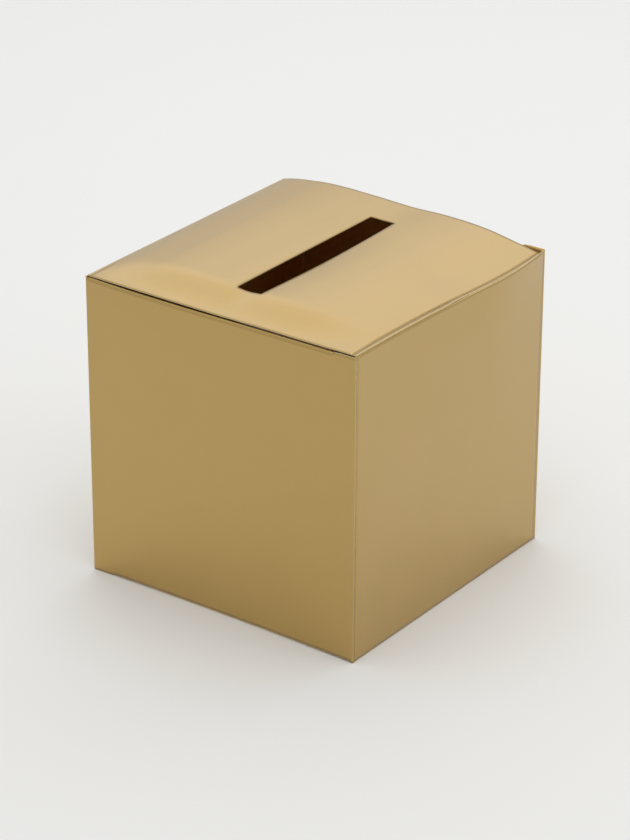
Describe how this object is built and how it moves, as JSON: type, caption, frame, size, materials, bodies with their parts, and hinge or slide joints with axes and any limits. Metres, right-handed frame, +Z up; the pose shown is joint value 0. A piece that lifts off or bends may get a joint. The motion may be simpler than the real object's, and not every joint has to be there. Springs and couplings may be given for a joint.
{
  "type": "wedding card box",
  "caption": "Cube-shaped folding card box of satin gold board, with a hinged, gently arched lid that has a long card slot and tucks into the front wall.",
  "frame": {"origin": "centre of the square base, on the table, midway between the outside planes of the four walls", "axes": "+Z up; +X towards the front wall, where the lid tucks in; -X towards the back wall, where the lid hinges; the card slot runs along Y"},
  "size_m": [0.2596, 0.2562, 0.2621],
  "materials": {
    "gold_board": "satin metallic gold laminate outside, pale cut edges; the inside is taken as gold ink, a guess from the warm brown seen in the slot",
    "glue": "dried white glue, out of sight in the seam"
  },
  "bodies": {
    "walls": {"left_wall": "gold_board", "right_wall": "gold_board", "front_wall": "gold_board", "back_wall": "gold_board", "glue_tab": "gold_board", "glue_line": "glue"},
    "lid": {"lid": "gold_board"},
    "lid_tuck": {"lid_tuck_flap": "gold_board"},
    "top_dust_left": {"top_dust_flap_left": "gold_board"},
    "top_dust_right": {"top_dust_flap_right": "gold_board"},
    "bottom": {"bottom_panel": "gold_board"},
    "bottom_tuck": {"bottom_tuck_flap": "gold_board"},
    "bottom_dust_left": {"bottom_dust_flap_left": "gold_board"},
    "bottom_dust_right": {"bottom_dust_flap_right": "gold_board"}
  },
  "joints": [
    {"name": "lid_hinge", "type": "hinge", "parent": "walls", "child": "lid", "pos_m": [-0.1267, 0, 0.2537], "axis": [0, -1, 0], "range_deg": [0, 135]},
    {"name": "lid_tuck_crease", "type": "hinge", "parent": "lid", "child": "lid_tuck", "pos_m": [0.1258, 0, 0.2537], "axis": [0, 1, 0], "range_deg": [-5, 45]},
    {"name": "top_dust_left_crease", "type": "hinge", "parent": "walls", "child": "top_dust_left", "pos_m": [0, -0.1267, 0.2528], "axis": [1, 0, 0], "range_deg": [0, 90]},
    {"name": "top_dust_right_crease", "type": "hinge", "parent": "walls", "child": "top_dust_right", "pos_m": [0, 0.1267, 0.2528], "axis": [-1, 0, 0], "range_deg": [0, 90]},
    {"name": "bottom_hinge", "type": "hinge", "parent": "walls", "child": "bottom", "pos_m": [0.1267, 0, 0.0003], "axis": [0, -1, 0], "range_deg": [0, 135]},
    {"name": "bottom_tuck_crease", "type": "hinge", "parent": "bottom", "child": "bottom_tuck", "pos_m": [-0.1258, 0, 0.0003], "axis": [0, 1, 0], "range_deg": [-5, 45]},
    {"name": "bottom_dust_left_crease", "type": "hinge", "parent": "walls", "child": "bottom_dust_left", "pos_m": [0, -0.1267, 0.0012], "axis": [-1, 0, 0], "range_deg": [0, 90]},
    {"name": "bottom_dust_right_crease", "type": "hinge", "parent": "walls", "child": "bottom_dust_right", "pos_m": [0, 0.1267, 0.0012], "axis": [1, 0, 0], "range_deg": [0, 90]}
  ],
  "couplings": [
    {"joint": "top_dust_left_crease", "follows": "lid_hinge", "ratio": 0.66667},
    {"joint": "top_dust_right_crease", "follows": "lid_hinge", "ratio": 0.66667},
    {"joint": "bottom_dust_left_crease", "follows": "bottom_hinge", "ratio": 0.66667},
    {"joint": "bottom_dust_right_crease", "follows": "bottom_hinge", "ratio": 0.66667}
  ]
}
